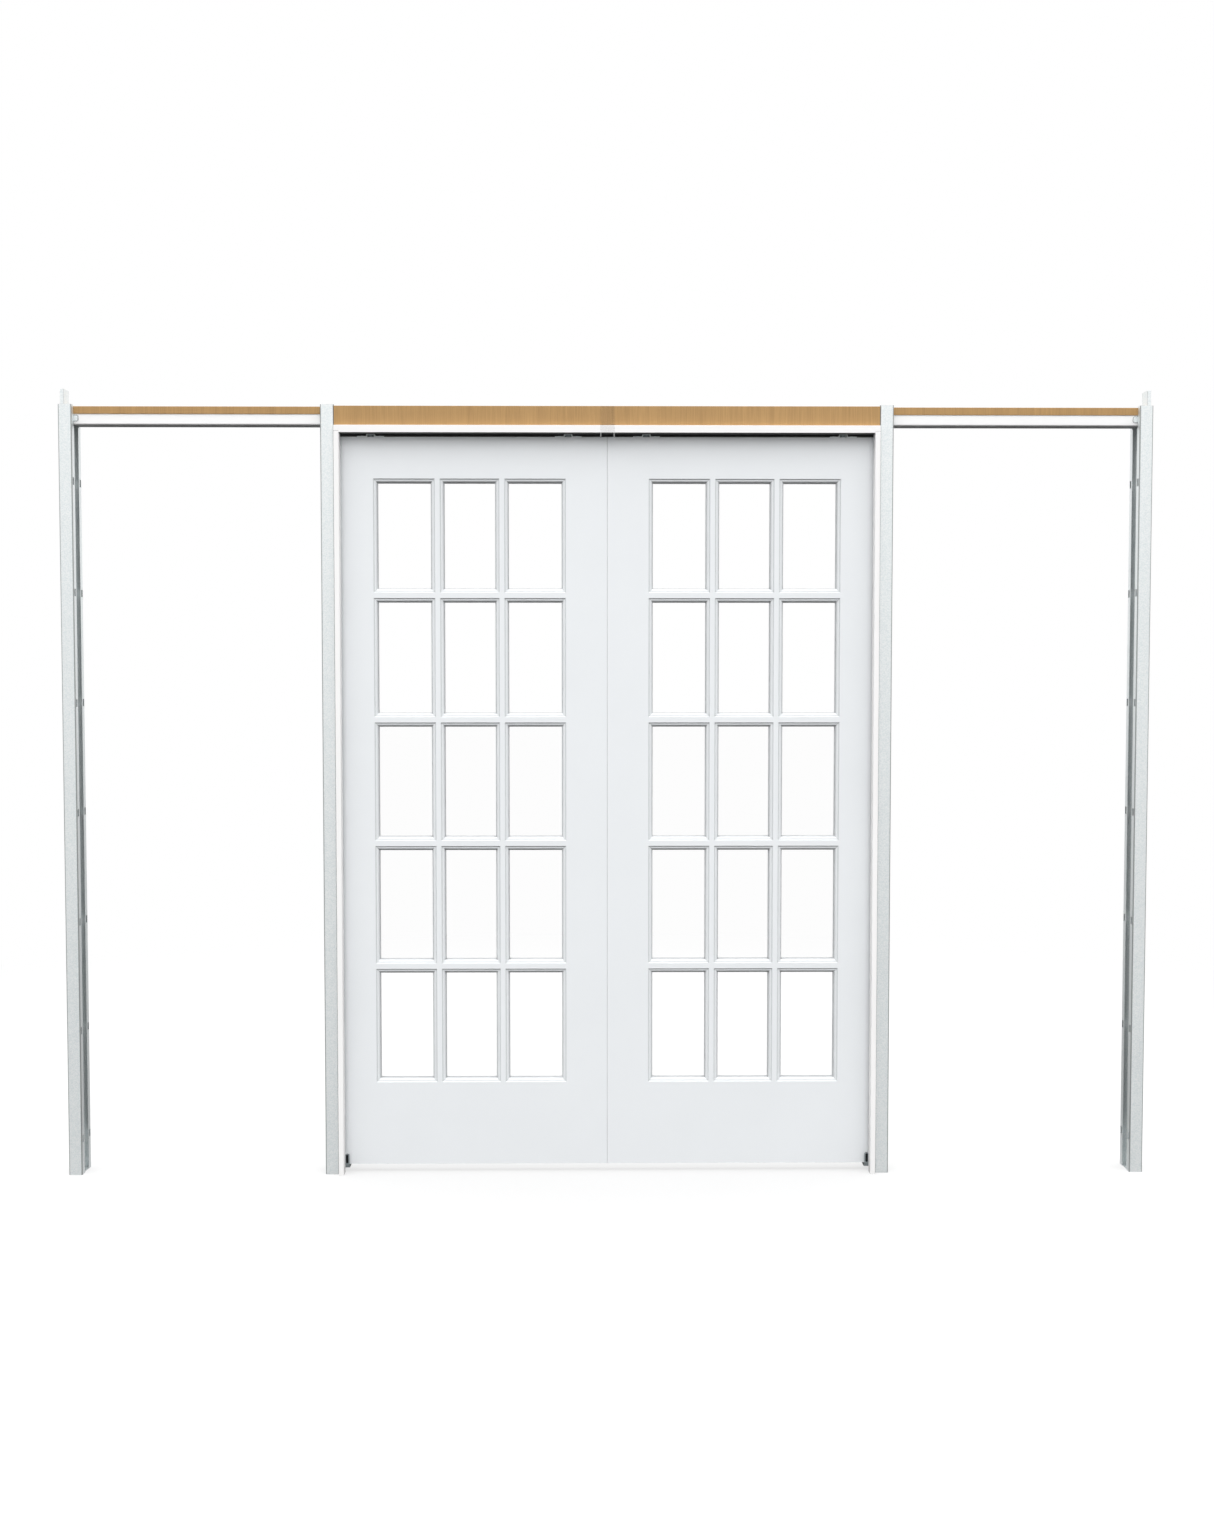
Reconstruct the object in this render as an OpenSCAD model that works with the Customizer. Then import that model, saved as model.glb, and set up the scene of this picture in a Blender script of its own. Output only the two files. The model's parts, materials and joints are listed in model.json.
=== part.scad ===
// Pair of glazed pocket doors in their open pocket frame.
// X runs along the wall, Y through it with the front at -Y, Z up from the floor.
// The origin is on the floor, at the middle of the frame.

/* [Doors] */
// Width of one door
door_w = 762; // [680:1:920]
// Height of one door
door_h = 2032; // [1900:1:2200]
// Thickness of one door
door_t = 35; // [33:0.5:40]
// Gap between the closed doors where they meet
meeting_gap = 0.6; // [0.6:0.1:4]
// Radius that eases the upright edges of the doors
door_ease = 1; // [0.5:0.1:2]
// Room under the doors
floor_room = 22.2; // [16:0.1:34]
// Width of each upright stile, without its moulding
stile_w = 114.3; // [95:0.1:130]
// Height of the top rail, without its moulding
top_rail_h = 114.3; // [95:0.1:140]
// Height of the bottom rail, without its moulding
bottom_rail_h = 231.6; // [180:0.1:260]

/* [Lights] */
// Width of the two outer columns of lights
side_column_w = 171; // [150:0.5:185]
// Face of the upright glazing bars
column_bar_w = 13.2; // [9:0.1:20]
// Height of the top row of lights
top_row_h = 314.4; // [270:0.1:350]
// Height of the bottom row of lights
bottom_row_h = 320.9; // [270:0.1:350]
// Face of the level glazing bars
row_bar_h = 15; // [10:0.1:22]
// Width of the moulding round each light
moulding_w = 12; // [10:0.1:15]
// Width of the slope from the door's face down to the moulding
slope_w = 2.6; // [1.6:0.1:3.4]
// Depth of the slope from the door's face down to the moulding
slope_d = 2.6; // [1.6:0.1:3.4]
// Flat between the slope and the round of the moulding
moulding_flat = 1.6; // [0.8:0.1:2.2]
// Step between the round of the moulding and the glass
moulding_step = 1.4; // [0.8:0.1:2]
// Thickness of the glass
glass_t = 4; // [3:0.5:6]
// Room round each pane in its rebate
pane_room = 2; // [1:0.5:3]

/* [Jambs] */
// How far a closed door stays inside its pocket
jamb_lap = 26; // [15:1:40]
// Thickness of the side jambs
jamb_t = 14.4; // [12:0.1:20]
// Room between a door's face and the jambs
jamb_side_room = 7.5; // [6:0.1:9]
// How far the jambs stand proud of the studs
jamb_proud = 13.5; // [8:0.5:20]
// Room between a door's top and the head jamb
head_room = 6.8; // [5:0.1:12]
// Thickness of the head jamb
head_jamb_t = 20.6; // [16:0.1:28]
// Depth of the housing for the side jambs in the head jamb
jamb_housing = 5; // [3:0.5:8]
// Radius that eases the long edges of the boards
board_ease = 1; // [0.5:0.1:2]

/* [Studs] */
// Depth of the frame, which is the depth of the wall's studs
wall_depth = 89; // [84:1:120]
// Face of the split studs beside the opening
split_stud_face = 38.1; // [32:0.1:50]
// Lips of the split studs
split_stud_lip = 8; // [5:0.5:11]
// Face of the end studs
end_stud_face = 37.5; // [32:0.1:50]
// Sheet thickness of the studs
stud_steel = 1.2; // [0.8:0.1:1.6]
// Outer radius of the studs' folds
stud_fold_r = 3.6; // [2:0.1:4]
// Room on each side of a door between an end stud's lips
lip_room = 2.7; // [1.5:0.1:4]
// Rise of the studs over the header board
stud_rise = 3.4; // [1:0.1:8]
// Width of the slots in the end studs' lips
slot_w = 13; // [8:0.5:16]
// Height of the slots in the end studs' lips
slot_h = 20; // [12:0.5:30]
// Distance of the slots from the end stud's face
slot_edge = 4.5; // [3:0.5:7]
// Height of the lowest slots over the floor
slot_first = 100; // [80:1:140]
// Step between the slots
slot_pitch = 305; // [250:1:330]
// Thickness of the floor plates that join the split studs
floor_plate_t = 1.5; // [1:0.1:3]
// Diameter of the floor screw holes
floor_hole_d = 6; // [4:0.5:8]
// Distance between the floor screw holes
floor_hole_gauge = 36; // [26:1:42]
// Diameter of the wall screw holes in the end studs
wall_hole_d = 5.5; // [4:0.5:7]
// Distance across between the wall screw holes
wall_hole_gauge = 44; // [30:1:56]
// Height of the lower wall screw holes
wall_hole_low = 400; // [250:1:600]
// Height of the upper wall screw holes
wall_hole_high = 1700; // [1500:1:1850]
// How much of an open door stays in sight
open_reveal = 6; // [2:0.5:12]
// Thickness of the rubber stops in the end studs
bumper_t = 12; // [8:0.5:16]
// Diameter of the rubber stops
bumper_d = 28; // [20:1:36]
// Diameter of the rubber stops' noses
bumper_nose_d = 22; // [14:1:28]
// Height of the rubber stops over the floor
bumper_z = 1000; // [800:1:1200]

/* [Header] */
// Thickness of the header board
header_t = 20.6; // [16:0.1:30]
// Width of the track
track_w = 46; // [44:0.5:50]
// Height of the track
track_h = 31; // [30:0.5:38]
// Wall of the track
track_wall = 2; // [1.6:0.1:2.4]
// Radius of the track's lower edges
track_round = 6; // [4:0.5:6]
// Width of the slot under the track
track_slot = 11; // [10:0.1:11.4]
// How far the header board stands past the track on each side
header_margin = 2.5; // [2:0.1:4]
// Room between the head jamb and the track
track_room = 2.4; // [1:0.1:5]
// Length of the stops in the track
track_stop_l = 24; // [12:1:34]
// Width of the stops in the track
track_stop_w = 30; // [20:1:32]
// Sheet thickness of the end brackets
bracket_steel = 2; // [1.5:0.1:2.4]
// Outer radius of the end brackets' folds
bracket_fold_r = 3.2; // [2.6:0.1:4]
// Flanges of the end brackets
bracket_flange = 11; // [8:0.5:16]
// Rise of the end brackets over the studs
bracket_rise = 44; // [30:1:60]
// Length of the end brackets' ears
ear_l = 39; // [32:0.5:60]
// Height of the end brackets' ears
ear_h = 19; // [14:0.5:22]
// Distance of the ears under the header board
ear_drop = 2; // [0:0.5:4]
// Corner radius of the ears
ear_round = 6; // [3:0.5:6.5]
// Width of the clips at the middle of the header
clip_w = 39; // [25:1:60]
// Sheet thickness of the clips
clip_t = 0.8; // [0.5:0.1:1.5]
// Width of the clips' legs
clip_leg_w = 2.5; // [1.5:0.1:4]
// Length of the clips' legs
clip_leg_l = 14; // [6:1:20]

/* [Hangers] */
// Distance of each hanger from the door's edge
hanger_inset = 108; // [95:1:140]
// Length of a hanger plate
plate_l = 74; // [66:1:90]
// Width of a hanger plate
plate_w = 28; // [22:1:32]
// Sheet thickness of a hanger plate
plate_t = 2.5; // [2:0.1:3]
// Outer radius of the hanger plates' folds
plate_fold_r = 4; // [3.2:0.1:5]
// Length of the bridge over the bolt's head
bridge_l = 24; // [22:0.5:30]
// Height of the bridge over the door's top
bridge_h = 9.5; // [9:0.1:11]
// Diameter of the hanger bolts
bolt_d = 8; // [6:0.5:8.5]
// Size of the hexagons across their flats
hex_flats = 13; // [12:0.5:14]
// Height of the hanger bolts' heads
bolt_head_h = 5.3; // [4:0.1:6]
// Height of the lock nuts
nut_h = 6.5; // [5:0.1:8]
// Length of a trolley
trolley_l = 68; // [64:1:80]
// Width of a trolley
trolley_w = 11; // [10.8:0.1:13]
// Height of a trolley
trolley_h = 17; // [14:0.5:18]
// Distance between a trolley's axles
wheel_base = 40; // [36:0.5:42]
// Diameter of the wheels
wheel_d = 20; // [18:0.5:21]
// Width of a wheel
wheel_w = 8; // [6:0.1:8.5]
// Diameter of the axles
axle_d = 5; // [4:0.1:6]
// How far the axles' ends stand out of the wheels
axle_end = 1; // [0.5:0.1:2]
// Diameter of the screw holes in the hanger plates
plate_hole_d = 5; // [4:0.1:6]
// Metal left over the end of the bolt in a trolley
bolt_cover = 2; // [1:0.1:4]
// Chamfer of the wheels
wheel_chamfer = 0.8; // [0.4:0.1:1.5]

/* [Floor guides] */
// How far the guides reach into the opening
guide_reach = 11; // [9:0.5:16]
// How far the guides reach behind the jambs
guide_hold = 12; // [10:0.5:14]
// Sheet thickness of the guides
guide_steel = 1.5; // [1:0.1:2]
// Height of the guides' tops over the floor
guide_top = 51; // [48:0.5:60]
// Height of the guides' undersides over the floor
guide_low = 10.5; // [8:0.5:12]
// Size of the guides' slanted folds
guide_fold = 12; // [10:0.5:13]
// Width of the glides
glide_w = 6.4; // [5:0.1:7]
// Height of the glides
glide_h = 24; // [16:0.5:24.5]
// Rim of the glides behind the sheet
glide_rim = 1.6; // [1:0.1:2]
// How far the glides stand out of the sheet in front
glide_proud = 0.5; // [0.3:0.1:1]
// Diameter of the guide screws
guide_screw_d = 4; // [3:0.1:4.5]
// Length of the guide screws in the jambs
guide_screw_l = 14; // [8:0.5:18]
// Diameter of the guide screws' heads
guide_head_d = 7.5; // [6:0.1:8]
// Height of the guide screws' heads
guide_head_h = 2; // [1.5:0.1:2.5]

/* [Clearances] */
// Gap over the side jambs in their housings
housing_gap = 0.5; // [0.2:0.1:1]
// Gap between an open door and its rubber stop
bumper_gap = 0.3; // [0.2:0.1:1]
// Gap between the wheels and the track
wheel_gap = 0.3; // [0.2:0.1:0.5]
// Gap between the wheels and the trolley's sides
wheel_side_gap = 0.5; // [0.3:0.1:0.8]
// Radial gap of an axle in its bore
axle_gap = 0.05; // [0.02:0.01:0.1]
// Gap between a closed trolley and its stop
stop_gap = 0.5; // [0.3:0.1:1]
// Gap between the glides and the doors
glide_gap = 0.5; // [0.3:0.1:1]
// Gap round a fastener or a glide in its hole
hole_gap = 0.1; // [0.05:0.05:0.2]
// Gap between the end studs' lips and the track over them
cope_gap = 2; // [1:0.5:5]
// Gap between the end studs' lips and the sides of the header board
lip_gap = 0.5; // [0.3:0.1:2]
// Gap between the clips and the boards under them
clip_gap = 0.1; // [0.05:0.05:0.3]
// Gap round the folded foot of an end stud
foot_gap = 0.8; // [0.4:0.1:1.5]

/* [Hidden] */

// Sides of the frame, along X and along Y
left = -1;
right = 1;
front = -1;
rear = 1;

// Colours of the materials
pine = [0.76, 0.60, 0.42];
zinc = [0.84, 0.86, 0.87];
dark_zinc = [0.55, 0.58, 0.60];
white_paint = [0.94, 0.95, 0.95];
primer = [0.97, 0.97, 0.97];
clear_glass = [0.80, 0.90, 0.92, 0.35];
clear_plastic = [0.70, 0.72, 0.72, 0.5];
black_nylon = [0.06, 0.06, 0.06];
black_rubber = [0.12, 0.12, 0.12];

// Roundness of circles, and how far a cut runs past what it cuts
$fn = 48;
cut = 1;
ovolo_steps = 6;

// Heights from the floor up
door_top = floor_room + door_h;
head_z = door_top + head_room;
head_top = head_z + head_jamb_t;
track_z = head_top + track_room;
track_top = track_z + track_h;
header_top = track_top + header_t;
stud_top = header_top + stud_rise;
bracket_top = stud_top + bracket_rise;
lip_top = track_z - cope_gap;

// Widths from the middle out
door_x = meeting_gap / 2;
door_edge = door_x + door_w;
opening_half = door_edge - jamb_lap;
jamb_outer = opening_half + jamb_t;
travel = opening_half - open_reveal - door_x;
web_inner = door_edge + travel + bumper_gap + bumper_t;
half_w = web_inner + stud_steel;
lip_x = half_w - end_stud_face;
bracket_x = web_inner - bracket_flange;

// Depths from the middle of the wall out
door_half = door_t / 2;
jamb_back = door_half + jamb_side_room;
track_half = track_w / 2;
header_half = track_half + header_margin;
wall_half = wall_depth / 2;
jamb_face = wall_half + jamb_proud;
lip_half = door_half + lip_room;
glass_half = glass_t / 2;

// Lights of one door
field_x = door_x + stile_w;
field_w = door_w - 2 * stile_w;
field_z = floor_room + bottom_rail_h;
field_h = door_h - bottom_rail_h - top_rail_h;
centre_column_w = field_w - 2 * side_column_w - 2 * column_bar_w;
middle_row_h = (field_h - top_row_h - bottom_row_h - 4 * row_bar_h) / 3;
column_w = [side_column_w, centre_column_w, side_column_w];
row_h = [bottom_row_h, middle_row_h, middle_row_h, middle_row_h, top_row_h];
column_x = [for (i = [0:2]) field_x + i * column_bar_w + sum_to(column_w, i)];
row_z = [for (i = [0:4]) field_z + i * row_bar_h + sum_to(row_h, i)];
ovolo_r = moulding_w - slope_w - moulding_flat - moulding_step;

// Hangers: places of the two on a door, and heights of their pieces
inner_hanger_x = door_x + hanger_inset;
outer_hanger_x = door_edge - hanger_inset;
bridge_top = door_top + bridge_h;
bridge_under = bridge_top - plate_t;
track_floor = track_z + track_wall;
axle_z = track_floor + wheel_gap + wheel_d / 2;
trolley_z = axle_z - trolley_h / 2;
trolley_top = trolley_z + trolley_h;
hex_d = hex_flats / cos(30);
plate_hole_x = (plate_l + bridge_l) / 4;

// Slots in the lips, as many as the lips have room for
slot_count = floor((lip_top - slot_first - slot_h) / slot_pitch) + 1;

// Floor guides
guide_x = opening_half - guide_reach;
glide_x = opening_half - glide_rim - glide_w / 2;
guide_screw_x = opening_half + guide_hold / 2;
guide_mid_z = (guide_low + guide_fold + guide_steel + guide_top) / 2;
fold_set = guide_steel * tan(22.5);

// Sum of the first n values of a list
function sum_to(list, n) = n <= 0 ? 0 : list[n - 1] + sum_to(list, n - 1);

// Round of the moulding: its distance in from the light's edge and its depth, from front to glass
function ovolo() = [
    for (i = [0:ovolo_steps])
        let (turn = 90 * i / ovolo_steps)
        [slope_w + moulding_flat + ovolo_r * sin(turn), slope_d + ovolo_r * (1 - cos(turn))]
];

// Half of the hole for a light of the given half size, as points of size and depth:
// moulded in front of the glass, and rebated behind it for the beads
function light_half(half) = concat(
    [[half, -door_half - cut], [half, -door_half], [half - slope_w, slope_d - door_half]],
    [for (p = ovolo()) [half - p.x, p.y - door_half]],
    [
        [half - moulding_w, slope_d + ovolo_r - door_half],
        [half - moulding_w, -glass_half],
        [half - slope_w, -glass_half],
        [half - slope_w, door_half - slope_d],
        [half, door_half],
        [half, door_half + cut]
    ]
);

// Half of the hole through a glazing bead, from the glass to the back of the door
function bead_half(half) = concat(
    [
        [half - moulding_w, glass_half - cut],
        [half - moulding_w, door_half - slope_d - ovolo_r]
    ],
    [for (i = [ovolo_steps:-1:0]) let (p = ovolo()[i]) [half - p.x, door_half - p.y]],
    [[half - slope_w - moulding_flat, door_half + cut]]
);

// Half of the rebate that a bead fills
function rebate_half(half) = [
    [half - slope_w, glass_half],
    [half - slope_w, door_half - slope_d]
];

// A half outline closed by its mirror image
function both_halves(side) = concat(
    side,
    [for (i = [len(side) - 1:-1:0]) [-side[i].x, side[i].y]]
);

// An outline with its two coordinates exchanged
function swapped(outline) = [for (p = outline) [p.y, p.x]];

// Outline of a stile in x and z: straight outside, mitred to the bars round each light inside
function stile_outline(edge, inner, turn) = concat(
    [[edge, floor_room], [inner, floor_room]],
    [
        for (i = [0:4])
            each [
                [inner, row_z[i]],
                [inner + turn * moulding_w, row_z[i] + moulding_w],
                [inner + turn * moulding_w, row_z[i] + row_h[i] - moulding_w],
                [inner, row_z[i] + row_h[i]]
            ]
    ],
    [[inner, door_top], [edge, door_top]]
);

// Outline of a rail in x and z, mitred to the bars round each light on its inner side
function rail_outline(edge, inner, turn) = concat(
    [[field_x, edge]],
    [
        for (i = [0:2])
            each [
                [column_x[i], inner],
                [column_x[i] + moulding_w, inner + turn * moulding_w],
                [column_x[i] + column_w[i] - moulding_w, inner + turn * moulding_w],
                [column_x[i] + column_w[i], inner]
            ]
    ],
    [[field_x + field_w, edge]]
);

// Puts a piece drawn at +X and +Y on the given side and face
module placed(side, face = rear) {
    mirror([side < 0 ? 1 : 0, 0, 0])
        mirror([0, face < 0 ? 1 : 0, 0])
            children();
}

// Runs a flat outline in y and z along X
module along_x(from, to) {
    translate([from, 0, 0])
        rotate([90, 0, 90])
            linear_extrude(to - from)
                children();
}

// Runs a flat outline in x and z along Y
module along_y(from, to) {
    translate([0, to, 0])
        rotate([90, 0, 0])
            linear_extrude(to - from)
                children();
}

// Flat rectangle with round corners
module rounded(from, to, r) {
    translate([from.x + r, from.y])
        square([to.x - from.x - 2 * r, to.y - from.y]);
    translate([from.x, from.y + r])
        square([to.x - from.x, to.y - from.y - 2 * r]);
    for (x = [from.x + r, to.x - r], y = [from.y + r, to.y - r])
        translate([x, y])
            circle(r);
}

// Flat section of a folded sheet that lies just inside a rounded rectangle
module folded_sheet(from, to, r, sheet) {
    difference() {
        rounded(from, to, r);
        rounded(from + [sheet, sheet], to - [sheet, sheet], r - sheet);
    }
}

// Flat strip with round ends, standing up
module upright_strip(w, h) {
    square([w, h - w], center = true);
    for (end = [-1, 1])
        translate([0, end * (h - w) / 2])
            circle(d = w);
}

// Steel channel at the back of the pocket, open towards the door, with a folded foot
module end_stud() {
    difference() {
        union() {
            linear_extrude(stud_top)
                difference() {
                    folded_sheet([lip_x, -wall_half], [half_w, wall_half], stud_fold_r, stud_steel);
                    translate([lip_x - cut, -lip_half])
                        square([stud_steel + 2 * cut, 2 * lip_half]);
                }
            translate([lip_x + stud_steel + foot_gap, -wall_half + stud_steel + foot_gap, 0])
                cube([
                    web_inner - lip_x - stud_steel - foot_gap + stud_steel / 2,
                    wall_depth - 2 * stud_steel - 2 * foot_gap,
                    stud_steel
                ]);
        }
        translate([lip_x - cut, -header_half - lip_gap, lip_top])
            cube([stud_steel + 2 * cut, 2 * (header_half + lip_gap), stud_top]);
        for (i = [0:slot_count - 1], face = [front, rear])
            translate([
                lip_x - cut,
                face * (wall_half - slot_edge - slot_w / 2) - slot_w / 2,
                slot_first + i * slot_pitch - slot_h / 2
            ])
                cube([stud_steel + 2 * cut, slot_w, slot_h]);
        for (face = [front, rear], z = [wall_hole_low, wall_hole_high])
            translate([web_inner - cut, face * wall_hole_gauge / 2, z])
                rotate([0, 90, 0])
                    cylinder(d = wall_hole_d, h = stud_steel + 2 * cut);
        for (face = [front, rear])
            translate([half_w - end_stud_face / 2, face * floor_hole_gauge / 2, -cut])
                cylinder(d = floor_hole_d, h = stud_steel + 2 * cut);
    }
}

// Folded bracket that hangs the header in the end stud, with an ear on each side of the track
module end_bracket() {
    ear_half = track_half + bracket_steel;
    ear_top = track_top - ear_drop;
    translate([0, 0, track_z])
        linear_extrude(bracket_top - track_z)
            difference() {
                folded_sheet(
                    [bracket_x, -ear_half], [half_w + bracket_fold_r, ear_half],
                    bracket_fold_r, bracket_steel
                );
                translate([web_inner, -wall_half])
                    square([end_stud_face, wall_depth]);
            }
    for (face = [front, rear])
        placed(right, face)
            along_y(track_half, ear_half)
                intersection() {
                    rounded(
                        [bracket_x - ear_l, ear_top - ear_h],
                        [web_inner + ear_l, ear_top],
                        ear_round
                    );
                    translate([bracket_x - ear_l, track_z])
                        square([ear_l + bracket_flange, track_h]);
                }
}

// One half of the split stud beside the opening: a lipped steel channel, open to the pocket
module split_stud() {
    translate([0, 0, floor_plate_t])
        linear_extrude(stud_top - floor_plate_t)
            difference() {
                folded_sheet(
                    [jamb_outer, header_half], [jamb_outer + split_stud_face, wall_half],
                    stud_fold_r, stud_steel
                );
                translate([jamb_outer + split_stud_lip, header_half - cut])
                    square([split_stud_face - 2 * split_stud_lip, stud_steel + 2 * cut]);
            }
}

// Plate on the floor that joins the two halves of a split stud under the door
module floor_plate() {
    difference() {
        translate([jamb_outer, -wall_half, 0])
            cube([split_stud_face, wall_depth, floor_plate_t]);
        for (face = [front, rear])
            translate([jamb_outer + split_stud_face / 2, face * floor_hole_gauge / 2, -cut])
                cylinder(d = floor_hole_d, h = floor_plate_t + 2 * cut);
    }
}

// Rubber button on the end stud's web that stops the open door
module bumper() {
    translate([web_inner, 0, bumper_z])
        rotate([0, -90, 0])
            cylinder(d1 = bumper_d, d2 = bumper_nose_d, h = bumper_t);
}

// One half of a side jamb, housed in the head jamb, drilled for the guide's screw
module side_jamb() {
    difference() {
        linear_extrude(head_z + jamb_housing - housing_gap)
            rounded([opening_half, jamb_back], [jamb_outer, jamb_face], board_ease);
        translate([guide_screw_x, jamb_back - cut, guide_mid_z])
            rotate([-90, 0, 0])
                cylinder(d = guide_screw_d + 2 * hole_gap, h = guide_screw_l + hole_gap + cut);
    }
}

// One half of the head jamb, with a housing at each end for the side jambs
module head_jamb() {
    difference() {
        along_x(-jamb_outer, jamb_outer)
            rounded([jamb_back, head_z], [jamb_face, head_top], board_ease);
        for (side = [left, right])
            placed(side)
                translate([opening_half, jamb_back - cut, head_z - cut])
                    cube([jamb_t + cut, jamb_face - jamb_back + 2 * cut, jamb_housing + cut]);
    }
}

// Board that closes the header's side over the opening
module fascia() {
    along_x(-jamb_outer, jamb_outer)
        rounded([header_half, head_top], [wall_half, header_top], board_ease);
}

// Board that carries the track
module header() {
    along_x(-bracket_x, bracket_x)
        rounded([-header_half, track_top], [header_half, header_top], board_ease);
}

// Flat box with its two lower corners rounded
module track_section(from, to, r) {
    translate([from.x, from.y + r])
        square([to.x - from.x, to.y - from.y - r]);
    translate([from.x + r, from.y])
        square([to.x - from.x - 2 * r, to.y - from.y]);
    for (x = [from.x + r, to.x - r])
        translate([x, from.y + r])
            circle(r);
}

// Box track with a slot below for the hanger bolts
module track_bar() {
    along_x(-bracket_x, bracket_x)
        difference() {
            track_section([-track_half, track_z], [track_half, track_top], track_round);
            track_section(
                [-track_half + track_wall, track_floor],
                [track_half - track_wall, track_top - track_wall],
                track_round - track_wall
            );
            translate([-track_slot / 2, track_z - cut])
                square([track_slot, track_wall + 2 * cut]);
        }
}

// Block in the track that stops a closing trolley
module track_stop() {
    reach = inner_hanger_x - trolley_l / 2 - stop_gap;
    translate([reach - track_stop_l, -track_stop_w / 2, track_floor])
        cube([track_stop_l, track_stop_w, track_h - 2 * track_wall]);
}

// Thin clip over the middle of the fascia and the head jamb, with two legs below
module header_clip() {
    high = wall_half + clip_gap;
    step = head_top + clip_gap;
    low = jamb_face + clip_gap;
    along_x(-clip_w / 2, clip_w / 2)
        polygon([
            [high, header_top],
            [high + clip_t, header_top],
            [high + clip_t, step + clip_t],
            [low + clip_t, step + clip_t],
            [low + clip_t, head_z],
            [low, head_z],
            [low, step],
            [high, step]
        ]);
    for (side = [left, right])
        translate([side * (clip_w - clip_leg_w) / 2 - clip_leg_w / 2, low, head_z - clip_leg_l])
            cube([clip_leg_w, clip_t, clip_leg_l]);
}

// Folded guide at the foot of the jambs that keeps the door in line
module floor_guide() {
    fold_top = guide_low + guide_fold;
    outer = [
        [jamb_back, guide_top],
        [jamb_back, fold_top],
        [jamb_back - guide_fold, guide_low]
    ];
    inner = [
        [jamb_back - guide_steel, guide_top],
        [jamb_back - guide_steel, fold_top + fold_set],
        [jamb_back - guide_fold - fold_set, guide_low + guide_steel]
    ];
    difference() {
        along_x(guide_x, opening_half + guide_hold)
            polygon(concat(
                outer,
                [for (i = [2:-1:0]) [-outer[i].x, outer[i].y]],
                [for (p = inner) [-p.x, p.y]],
                [for (i = [2:-1:0]) inner[i]]
            ));
        along_y(-jamb_back - cut, jamb_back + cut)
            translate([glide_x, guide_mid_z])
                upright_strip(glide_w + 2 * hole_gap, glide_h + 2 * hole_gap);
        along_y(-jamb_back - cut, jamb_back + cut)
            translate([guide_screw_x, guide_mid_z])
                circle(d = guide_screw_d + 2 * hole_gap);
    }
}

// Nylon glide in a guide, with a rim between the sheet and the door
module glide() {
    sheet = jamb_back - guide_steel;
    translate([glide_x, 0, guide_mid_z]) {
        along_y(door_half + glide_gap, jamb_back + glide_proud)
            upright_strip(glide_w, glide_h);
        along_y(door_half + glide_gap, sheet)
            upright_strip(glide_w + 2 * glide_rim, glide_h + 2 * glide_rim);
    }
}

// Screw that holds a guide to the back of a jamb
module guide_screw() {
    translate([guide_screw_x, jamb_back - guide_steel, guide_mid_z])
        rotate([-90, 0, 0]) {
            cylinder(d = guide_screw_d, h = guide_steel + guide_screw_l);
            translate([0, 0, -guide_head_h])
                cylinder(d = guide_head_d, h = guide_head_h);
        }
}

// Holes of all the lights, from half outlines that give their section
module column_holes(halves) {
    for (i = [0:2])
        translate([column_x[i] + column_w[i] / 2, 0, field_z - cut])
            linear_extrude(field_h + 2 * cut)
                polygon(both_halves(halves[i]));
}

module row_holes(halves) {
    for (i = [0:4])
        translate([0, 0, row_z[i] + row_h[i] / 2])
            along_x(field_x - cut, field_x + field_w + cut)
                polygon(swapped(both_halves(halves[i])));
}

module light_holes() {
    intersection() {
        column_holes([for (w = column_w) light_half(w / 2)]);
        row_holes([for (h = row_h) light_half(h / 2)]);
    }
}

// Room that a whole door takes up, with its upright edges eased
module door_room() {
    translate([0, 0, floor_room - cut])
        linear_extrude(door_h + 2 * cut)
            rounded([door_x, -door_half], [door_edge, door_half], door_ease);
}

// Upright of a door's frame, moulded along the lights
module stile(edge, inner, turn) {
    difference() {
        intersection() {
            along_y(-door_half - cut, door_half + cut)
                polygon(stile_outline(edge, inner, turn));
            door_room();
        }
        light_holes();
    }
}

// Level member of a door's frame, moulded along the lights
module rail(edge, inner, turn) {
    difference() {
        along_y(-door_half, door_half)
            polygon(rail_outline(edge, inner, turn));
        light_holes();
    }
}

// Lattice of glazing bars, mitred into the stiles and rails
module glazing_bars() {
    difference() {
        translate([field_x, -door_half, field_z])
            cube([field_w, door_t, field_h]);
        light_holes();
        along_y(-door_half - cut, door_half + cut) {
            polygon(stile_outline(door_x, field_x, 1));
            polygon(stile_outline(door_edge, field_x + field_w, -1));
            polygon(rail_outline(door_top, field_z + field_h, -1));
            polygon(rail_outline(floor_room, field_z, 1));
        }
    }
}

// Mitred beads that hold the glass from behind
module glazing_beads() {
    difference() {
        intersection() {
            column_holes([for (w = column_w) rebate_half(w / 2)]);
            row_holes([for (h = row_h) rebate_half(h / 2)]);
        }
        intersection() {
            column_holes([for (w = column_w) bead_half(w / 2)]);
            row_holes([for (h = row_h) bead_half(h / 2)]);
        }
    }
}

// Panes of glass, one in each light
module panes() {
    inset = slope_w + pane_room;
    for (i = [0:2], j = [0:4])
        translate([column_x[i] + inset, -glass_half, row_z[j] + inset])
            cube([column_w[i] - 2 * inset, glass_t, row_h[j] - 2 * inset]);
}

// Flat block that stands on the middle of its base, with its two upper corners rounded
module arch(w, h, r) {
    translate([-w / 2, 0])
        square([w, h - r]);
    translate([-w / 2 + r, 0])
        square([w - 2 * r, h]);
    for (side = [left, right])
        translate([side * (w / 2 - r), h - r])
            circle(r);
}

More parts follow.
